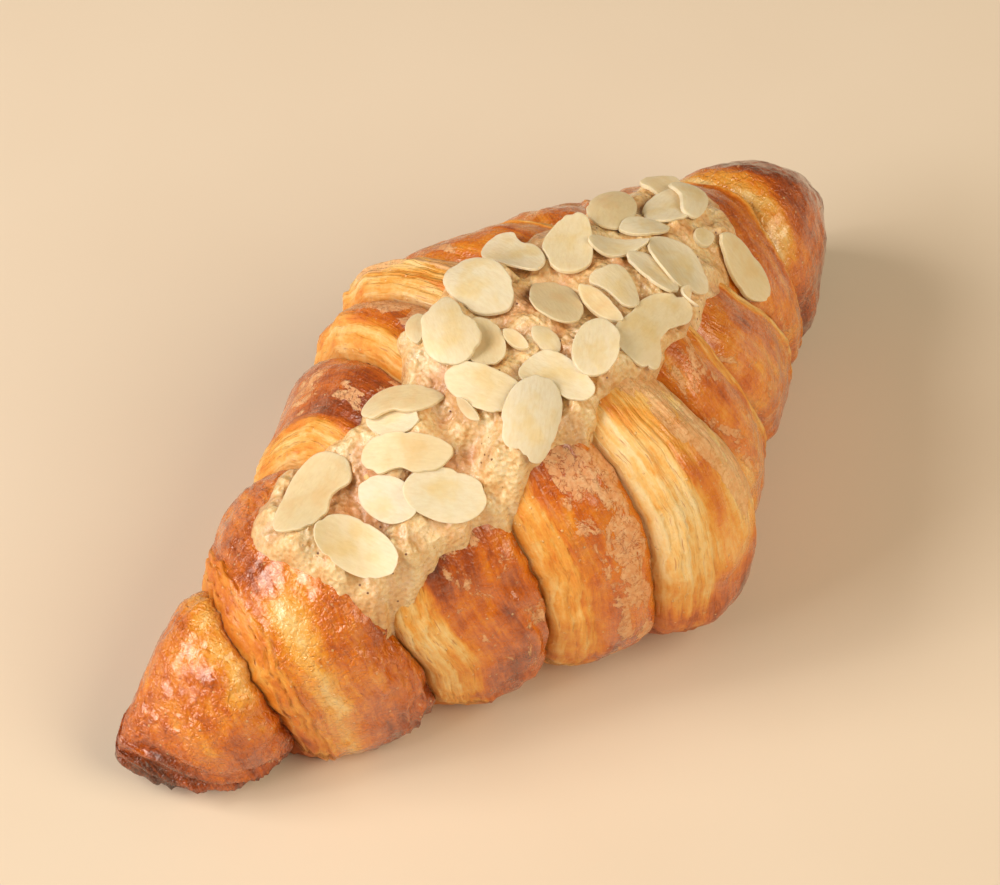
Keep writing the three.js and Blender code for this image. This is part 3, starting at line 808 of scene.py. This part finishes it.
class Shader:
    """A material's node tree, with short ways to add the nodes that the materials here use."""

    def __init__(self, name):
        self.material = bpy.data.materials.new(name)
        self.material.use_nodes = True
        self.nodes = self.material.node_tree.nodes
        self.links = self.material.node_tree.links

    def feed(self, node, inputs):
        """Links each input to another node's output, or sets it to a value. _ stands for a space."""
        for name, value in inputs.items():
            socket = node.inputs[name.replace("_", " ") if isinstance(name, str) else name]
            if isinstance(value, bpy.types.NodeSocket):
                self.links.new(value, socket)
            else:
                socket.default_value = value

    def add(self, kind, **inputs):
        node = self.nodes.new(f"ShaderNode{kind}")
        self.feed(node, inputs)
        return node

    def finish(self, **inputs):
        """Feeds the surface and gives the finished material."""
        self.feed(self.nodes["Principled BSDF"], inputs)
        return self.material

    def attribute(self, name, output="Fac"):
        node = self.add("Attribute")
        node.attribute_name = name
        return node.outputs[output]

    def position(self):
        """Place on the object in millimetres."""
        coordinates = self.add("TexCoord")
        return self.scaled(coordinates.outputs["Object"], (1 / MM, 1 / MM, 1 / MM))

    def scaled(self, vector, scale):
        return self.add("Mapping", Vector=vector, Scale=scale).outputs["Vector"]

    def noise(self, vector, size, detail=3.0, roughness=0.55, distortion=0.0):
        """Noise from 0 to 1 with features about size across."""
        node = self.add("TexNoise", Vector=vector, Scale=1 / size, Detail=detail)
        self.feed(node, {"Roughness": roughness, "Distortion": distortion})
        return node.outputs["Fac"]

    def cells(self, vector, size, feature="F1", smoothness=None):
        """Distance within a pattern of cells about size across."""
        node = self.add("TexVoronoi", Vector=vector, Scale=1 / size)
        node.feature = feature
        if smoothness is not None:
            self.feed(node, {"Smoothness": smoothness})
        return node.outputs["Distance"]

    def math(self, operation, *values, clamp=False):
        node = self.add("Math")
        node.operation = operation
        node.use_clamp = clamp
        self.feed(node, dict(enumerate(values)))
        return node.outputs[0]

    def plus(self, a, b, clamp=False):
        return self.math("ADD", a, b, clamp=clamp)

    def minus(self, a, b):
        return self.math("SUBTRACT", a, b)

    def times(self, a, b):
        return self.math("MULTIPLY", a, b)

    def remap(self, value, low, high, to_low=0.0, to_high=1.0):
        """value from low to high becomes to_low to to_high, smoothly and no further."""
        node = self.add("MapRange", Value=value, From_Min=low, From_Max=high)
        self.feed(node, {"To_Min": to_low, "To_Max": to_high})
        node.interpolation_type = "SMOOTHSTEP"
        return node.outputs["Result"]

    def ramp(self, value, stops):
        """The colour at value in a row of places and colours."""
        node = self.add("ValToRGB", Fac=value)
        elements = node.color_ramp.elements
        while len(elements) < len(stops):
            elements.new(0.5)
        for element, (place, shade) in zip(elements, stops):
            element.position = place
            element.color = shade
        return node.outputs["Color"]

    def blend(self, share, a, b):
        """Colour a, with this share of colour b over it."""
        node = self.add("Mix")
        node.data_type = "RGBA"
        self.feed(node, {0: share, 6: a, 7: b})
        return node.outputs[2]

    def bumps(self, *layers):
        """A normal from layers of height, distance in metres and strength, each laid over the last."""
        normal = None
        for height, distance, strength in layers:
            node = self.add("Bump", Height=height, Distance=distance, Strength=strength)
            if normal is not None:
                self.feed(node, {"Normal": normal})
            normal = node.outputs["Normal"]
        return normal


CRUMB_COLOURS = [
    (0.0, colour(253, 226, 170)), (0.18, colour(250, 204, 124)), (0.34, colour(243, 170, 64)),
    (0.50, colour(230, 134, 22)), (0.64, colour(209, 104, 5)), (0.80, colour(162, 68, 2)),
    (1.0, colour(92, 36, 1)),
]
CRUST_COLOUR = colour(232, 166, 108)
# Colour of the painted shade at the bottom of the creases.
CREASE_SHADE_COLOUR = colour(138, 58, 10)


def pastry_material():
    shader = Shader("baked_pastry")
    grain = shader.attribute("grain", "Vector")
    place = shader.position()
    strip = shader.attribute("strip")
    wrinkle = shader.attribute("wrinkle")

    broad = shader.noise(place, 5.0, 5, 0.6)
    lines = shader.noise(shader.scaled(grain, (1.0, 0.09, 1.0)), 0.8, 4, 0.6)
    fine_lines = shader.noise(shader.scaled(grain, (1.0, 0.06, 1.0)), 0.3, 2)
    mottle = shader.noise(place, 1.3, 4, 0.65)

    # Browning: the stored bake, streaked along the dough and mottled.
    bake = shader.attribute("bake")
    for pattern, amount in ((broad, 0.38), (mottle, 0.24), (fine_lines, 0.20)):
        change = shader.times(shader.minus(pattern, 0.5), amount)
        bake = shader.plus(bake, change)
    strength = shader.remap(strip, 0, 1, 0.40, 0.55)
    streak = shader.times(shader.minus(lines, 0.5), strength)
    bake = shader.plus(bake, streak, clamp=True)
    crumb = shader.ramp(bake, CRUMB_COLOURS)

    # Matte crust with ragged edges where the egg wash has flaked off.
    flaked = shader.noise(shader.scaled(grain, (1.0, 0.45, 1.0)), 4.2, 6, 0.66, 0.4)
    limit = shader.remap(shader.attribute("crust"), 0, 1, 0.74, 0.40)
    crust = shader.remap(shader.minus(flaked, limit), 0.0, 0.03)
    level = shader.minus(shader.noise(place, 3.0, 4, 0.6, 0.6), 0.5)
    split = shader.remap(shader.math("ABSOLUTE", level), 0.014, 0.0)
    crust = shader.times(crust, shader.minus(1.0, split))
    crust_tone = shader.blend(shader.remap(mottle, 0.35, 0.7), CRUST_COLOUR, colour(248, 204, 152))
    body = shader.blend(shader.times(crust, 0.78), crumb, crust_tone)

    # Thin dark lines between the strands of the strips, and painted shade at the bottom of the creases.
    gaps = shader.remap(fine_lines, 0.38, 0.28)
    gaps = shader.times(gaps, shader.remap(strip, 0.2, 0.9, 0.10, 0.60))
    body = shader.blend(gaps, body, colour(190, 104, 34))
    crease = shader.times(shader.attribute("crease"), 0.50)
    body = shader.blend(crease, body, CREASE_SHADE_COLOUR)

    # Pale pinprick bubbles all over: partly pale blisters of the crust, partly painted glints on tiny
    # bumps.
    bubble_and_glint = shader.remap(shader.cells(place, 1.9), 0.17, 0.08)
    bubble_and_glint = shader.times(bubble_and_glint, shader.remap(shader.noise(place, 3.0, 1), 0.46, 0.60))
    body = shader.blend(shader.times(bubble_and_glint, 0.65), body, colour(252, 210, 150))

    # Egg-wash gloss on the browned dough, less on the strips and none on the matte crust.
    dull = shader.math("MAXIMUM", shader.times(strip, 0.45), crust)
    patchy = shader.remap(shader.noise(place, 4.0, 3), 0.35, 0.6, 0.6, 1.0)
    gloss = shader.times(shader.minus(1.0, dull), patchy)
    wetness = shader.remap(wrinkle, 0.1, 0.8, 0.75, 1.0)
    wet = shader.times(gloss, wetness)

    # Wrinkled glaze, streaks, mottle and bubbles, laid over each other as bumps.
    folds = shader.noise(place, 1.1, 0.5, 0.5, 1.2)
    cracks = shader.cells(place, 2.6, "DISTANCE_TO_EDGE")
    folds = shader.plus(folds, shader.remap(cracks, 0.0, 0.10, 0.0, 0.18))
    folds = shader.times(folds, shader.remap(wrinkle, 0.0, 1.0, 0.2, 1.0))
    strands = shader.noise(shader.scaled(grain, (1.0, 0.05, 1.0)), 0.6, 2)
    strands = shader.times(strands, shader.remap(strip, 0.1, 0.8, 0.15, 1.0))
    speckle = shader.plus(mottle, bubble_and_glint)
    normal = shader.bumps(
        (folds, 0.00045, 1.0), (strands, 0.0008, 0.8), (lines, 0.0004, 0.6), (speckle, 0.0002, 0.8),
        (crust, 0.00015, 0.7),
    )
    return shader.finish(
        Base_Color=body,
        Roughness=shader.remap(wet, 0, 1, 0.60, 0.15),
        Normal=normal,
        Specular_IOR_Level=0.85,
        Coat_Weight=shader.remap(wet, 0.4, 1.0, 0.0, 0.8),
        Coat_Roughness=0.14,
        Coat_IOR=1.5,
        Subsurface_Weight=0.04,
        Subsurface_Scale=0.003,
        Subsurface_Radius=(1.0, 0.45, 0.18),
    )


def cream_material():
    shader = Shader("almond_cream")
    place = shader.position()
    thickness = shader.attribute("thickness")
    rim = shader.attribute("rim")
    broad = shader.noise(place, 4.0, 4, 0.6)
    grit = shader.noise(place, 0.8, 4, 0.7)
    tone = shader.plus(shader.times(broad, 0.5), shader.times(grit, 0.5))
    body = shader.ramp(tone, [
        (0.32, colour(224, 158, 86)), (0.43, colour(241, 198, 134)), (0.53, colour(248, 220, 168)),
        (0.68, colour(254, 238, 206)),
    ])
    # Thin places and the rim are browned, and let the pastry's red-brown through.
    thin = shader.remap(shader.plus(thickness, shader.times(broad, 0.8)), 1.7, 0.6)
    body = shader.blend(shader.times(thin, 0.65), body, colour(212, 132, 78))
    body = shader.blend(shader.times(rim, 0.30), body, colour(230, 172, 100))
    # Painted shade: the cream is browner in the hollows between its grains.
    painted_hollow_shade = shader.times(shader.attribute("painted_hollow_shade"), 0.45)
    body = shader.blend(painted_hollow_shade, body, colour(204, 128, 58))
    # Dark specks of almond skin.
    speck = shader.remap(shader.cells(place, 1.9), 0.15, 0.09)
    chosen = shader.remap(shader.noise(place, 2.0, 1), 0.50, 0.56)
    body = shader.blend(shader.times(speck, chosen), body, colour(120, 64, 26))
    grains = shader.cells(place, 1.1, "SMOOTH_F1", 0.4)
    return shader.finish(
        Base_Color=body,
        Roughness=shader.remap(broad, 0.42, 0.62, 0.42, 0.17),
        Normal=shader.bumps((grains, 0.0005, 0.9), (grit, 0.0003, 0.8)),
        Specular_IOR_Level=0.85,
        Coat_Weight=0.5,
        Coat_Roughness=0.16,
        Coat_IOR=1.5,
        Subsurface_Weight=0.15,
        Subsurface_Scale=0.0015,
        Subsurface_Radius=(1.0, 0.6, 0.3),
    )


def almond_material():
    shader = Shader("flaked_almond")
    pattern = shader.attribute("pattern", "Vector")
    tint = shader.attribute("tint")
    reach = shader.attribute("reach")
    rim = shader.attribute("rim")
    cloud = shader.noise(pattern, 5.0, 3)
    fibre = shader.noise(shader.scaled(pattern, (0.35, 1.0, 1.0)), 0.6, 3)
    ivory = shader.blend(tint, colour(247, 232, 202), colour(245, 220, 176))
    warm = shader.blend(shader.remap(tint, 0.6, 1.0), colour(240, 203, 132), colour(240, 194, 140))
    toasted = shader.minus(cloud, shader.times(reach, 0.25))
    toasted = shader.remap(toasted, 0.30, 0.62)
    body = shader.blend(shader.times(toasted, 0.6), ivory, warm)
    # Painted highlight along the flake's rounded rim.
    body = shader.blend(shader.times(rim, 0.5), body, colour(248, 234, 200))
    body = shader.blend(shader.remap(fibre, 0.35, 0.7, 0.0, 0.22), body, colour(222, 190, 134))
    return shader.finish(
        Base_Color=body,
        Roughness=shader.remap(cloud, 0.3, 0.7, 0.52, 0.38),
        Normal=shader.bumps((fibre, 0.00012, 0.5), (cloud, 0.0006, 0.4)),
        Subsurface_Weight=0.35,
        Subsurface_Scale=0.003,
        Subsurface_Radius=(1.0, 0.75, 0.45),
    )


def floor_material():
    shader = Shader("pale_floor")
    place = shader.position()
    body = shader.blend(shader.noise(place, 60.0, 2), colour(236, 222, 204), colour(231, 215, 195))
    return shader.finish(Base_Color=body, Roughness=0.8)


# ---------------------------------------------------------------- camera, light and floor

CAMERA_AZIMUTH = math.radians(-45)
CAMERA_HEIGHT_ANGLE = math.radians(54)
CAMERA_DISTANCE = 0.7
CAMERA_LENS = 134.0
CAMERA_AIM = Vector((0.0015, 0.0073, 0.0219))
LIGHT_AIM = Vector((0, 0, 0.03))
FLOOR_HALF_WIDTH = 3000.0  # mm
WORLD_COLOUR = (1.0, 0.85, 0.64, 1)
WORLD_STRENGTH = 0.16


def aim(thing, place, target):
    thing.location = place
    thing.rotation_euler = (target - place).to_track_quat("-Z", "Y").to_euler()


def make_camera():
    camera = bpy.data.objects.new("camera", bpy.data.cameras.new("camera"))
    bpy.context.scene.collection.objects.link(camera)
    camera.data.lens = CAMERA_LENS
    flat = math.cos(CAMERA_HEIGHT_ANGLE)
    back = Vector((
        math.sin(CAMERA_AZIMUTH) * flat, -math.cos(CAMERA_AZIMUTH) * flat, math.sin(CAMERA_HEIGHT_ANGLE),
    ))
    aim(camera, CAMERA_AIM + back * CAMERA_DISTANCE, CAMERA_AIM)
    bpy.context.scene.camera = camera


def make_light(name, place, size, power_watts, tone):
    lamp = bpy.data.lights.new(name, "AREA")
    lamp.size = size
    lamp.energy = power_watts
    lamp.color = tone
    light = bpy.data.objects.new(name, lamp)
    bpy.context.scene.collection.objects.link(light)
    aim(light, Vector(place), LIGHT_AIM)


def make_studio():
    make_light("key", (-0.56, 0.54, 0.78), size=0.42, power_watts=5.3, tone=(1.0, 0.90, 0.78))
    make_light("sheen", (-0.86, 0.30, 0.56), size=0.5, power_watts=5.6, tone=(1.0, 0.92, 0.84))
    make_light("fill", (0.25, -0.80, 0.85), size=0.8, power_watts=8.4, tone=(1.0, 0.85, 0.62))
    bpy.context.scene.view_settings.view_transform = "Standard"
    world = bpy.data.worlds.new("soft_studio")
    world.use_nodes = True
    backdrop = world.node_tree.nodes["Background"]
    backdrop.inputs["Color"].default_value = WORLD_COLOUR
    backdrop.inputs["Strength"].default_value = WORLD_STRENGTH
    bpy.context.scene.world = world

    half = FLOOR_HALF_WIDTH
    corners = np.array([(-half, -half, 0), (half, -half, 0), (half, half, 0), (-half, half, 0)])
    floor = new_mesh_object("floor", corners, [(0, 1, 2, 3)])
    floor.data.materials.append(floor_material())


# ---------------------------------------------------------------- putting it together


def finish_piece(piece, node, material):
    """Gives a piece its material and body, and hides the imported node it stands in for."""
    piece.data.materials.append(material)
    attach(piece, "root")
    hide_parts(node)


def tree_of(piece):
    return BVHTree.FromObject(piece, bpy.context.evaluated_depsgraph_get())


def main():
    make_camera()
    make_studio()

    pastry = make_pastry()
    finish_piece(pastry, "pastry", pastry_material())
    trees = [tree_of(pastry)]
    cream = make_cream(trees[0])
    finish_piece(cream, "almond_cream", cream_material())
    trees.append(tree_of(cream))

    almond = almond_material()
    flakes = sorted(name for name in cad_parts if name.startswith("almond_flake"))
    for index, name in enumerate(flakes):
        flake = make_flake(name, index, trees)
        finish_piece(flake, name, almond)
        trees.append(tree_of(flake))


main()
